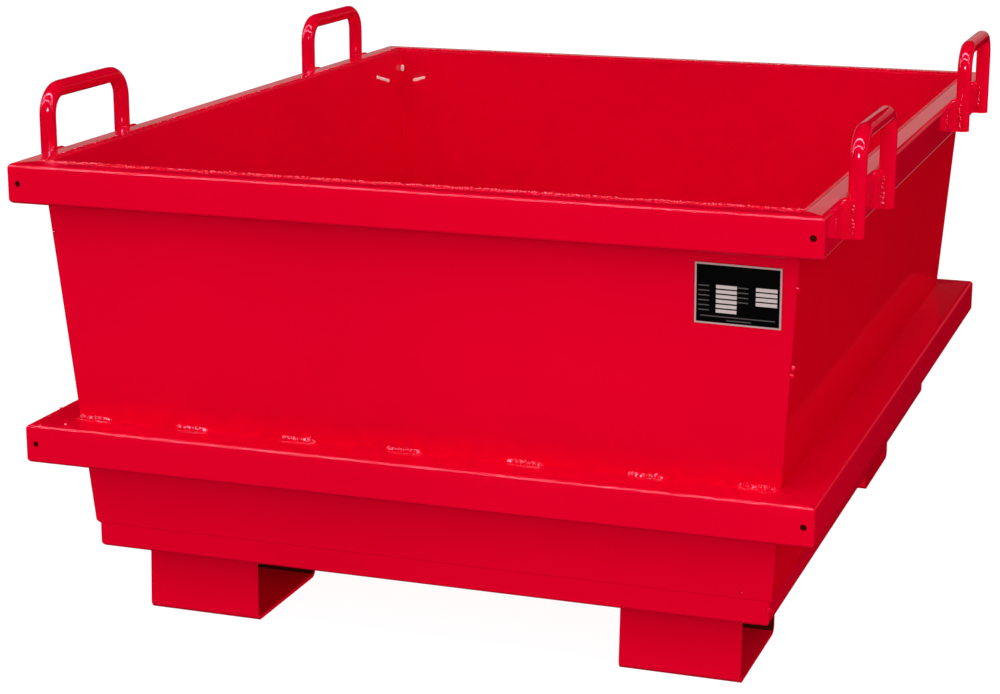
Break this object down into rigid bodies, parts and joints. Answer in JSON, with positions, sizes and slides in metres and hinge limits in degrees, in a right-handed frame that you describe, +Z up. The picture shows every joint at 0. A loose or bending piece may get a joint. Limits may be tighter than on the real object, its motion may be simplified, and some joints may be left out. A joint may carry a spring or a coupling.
{
  "type": "stackable container",
  "caption": "Open steel container with tapered walls, a hollow-section rim, a stacking collar, fork stirrups under its floor and lifting eyes on its rim.",
  "frame": {"origin": "middle of the footprint, on the ground under the fork stirrups", "axes": "+X to the right seen from the front, +Y to the back along the long side, +Z up; the data plate is on the front wall, which faces -Y"},
  "size_m": [1.0526, 1.25, 0.689],
  "materials": {
    "enamel": "glossy red enamel over welded steel",
    "plate": "thin plate printed satin black with pale blank boxes"
  },
  "bodies": {
    "root": {"floor_pan": "enamel", "wall_front": "enamel", "wall_right": "enamel", "wall_rear": "enamel", "wall_left": "enamel", "rim_front": "enamel", "rim_right": "enamel", "rim_rear": "enamel", "rim_left": "enamel", "collar_front": "enamel", "collar_right": "enamel", "collar_rear": "enamel", "collar_left": "enamel", "weld_rim_front": "enamel", "weld_rim_right": "enamel", "weld_rim_rear": "enamel", "weld_rim_left": "enamel", "weld_pan_front": "enamel", "weld_pan_right": "enamel", "weld_pan_rear": "enamel", "weld_pan_left": "enamel", "fork_stirrup_front_left": "enamel", "fork_stirrup_front_right": "enamel", "fork_stirrup_rear_left": "enamel", "fork_stirrup_rear_right": "enamel", "lifting_eye_front_left": "enamel", "lifting_eye_front_right": "enamel", "lifting_eye_rear_left": "enamel", "lifting_eye_rear_right": "enamel", "data_plate": "plate"}
  },
  "joints": []
}
